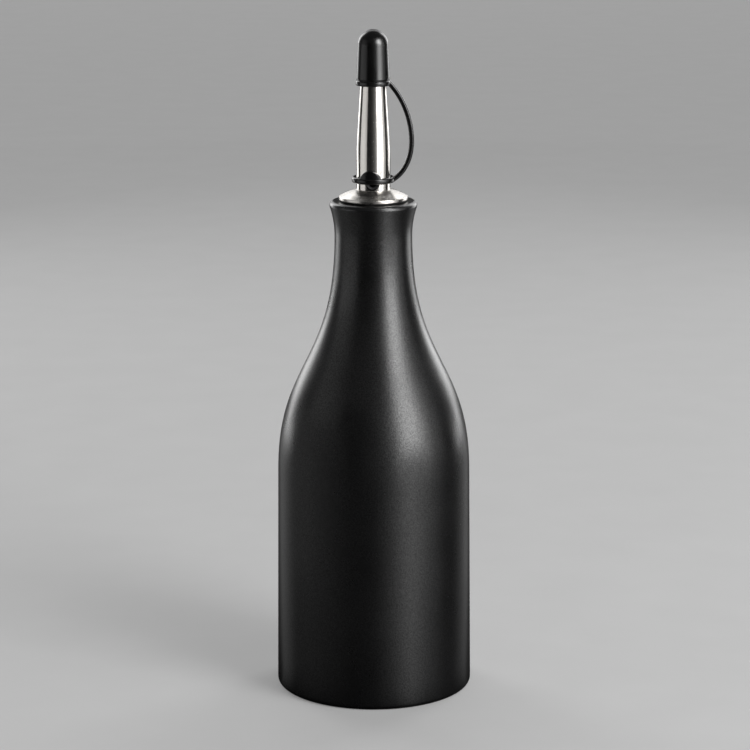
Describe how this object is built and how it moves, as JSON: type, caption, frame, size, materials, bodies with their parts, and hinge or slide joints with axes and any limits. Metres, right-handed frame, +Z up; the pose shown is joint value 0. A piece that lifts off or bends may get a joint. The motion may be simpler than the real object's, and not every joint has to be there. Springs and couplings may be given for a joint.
{
  "type": "oil dispenser bottle",
  "caption": "Black stoneware oil bottle with a straight body, sloping shoulder and slim neck, closed by a lift-out steel pourer with a tethered rubber cap.",
  "frame": {"origin": "centre of the foot, on the surface that the bottle stands on", "axes": "+Z up along the bottle's axis; the pourer's air hole faces -Y and the cap's strap bows out towards +X"},
  "size_m": [0.076, 0.076, 0.2568],
  "materials": {
    "stoneware": "satin black glaze",
    "steel": "brushed",
    "rubber": "semi-matte",
    "silicone": "matte",
    "plastic": "moulded"
  },
  "bodies": {
    "bottle": {"bottle_body": "stoneware", "bottle_shoulder": "stoneware"},
    "pourer": {"pour_flange": "steel", "spout_tube": "steel", "flange_gasket": "silicone", "stopper_core": "plastic", "stopper_sleeve": "silicone", "breather_tube": "plastic"},
    "tether": {"tether_ring": "rubber", "cap_strap": "rubber"},
    "cap": {"cap": "rubber"}
  },
  "joints": [
    {"name": "pourer_lift", "type": "slide", "parent": "bottle", "child": "pourer", "axis": [0, 0, 1], "range_m": [0, 0.04]},
    {"name": "tether_turn", "type": "hinge", "parent": "pourer", "child": "tether", "pos_m": [0, 0, 0.2], "axis": [0, 0, 1], "continuous": true},
    {"name": "cap_lift", "type": "slide", "parent": "tether", "child": "cap", "axis": [0, 0, 1], "range_m": [0, 0.016], "deforming": ["cap_strap"]}
  ]
}
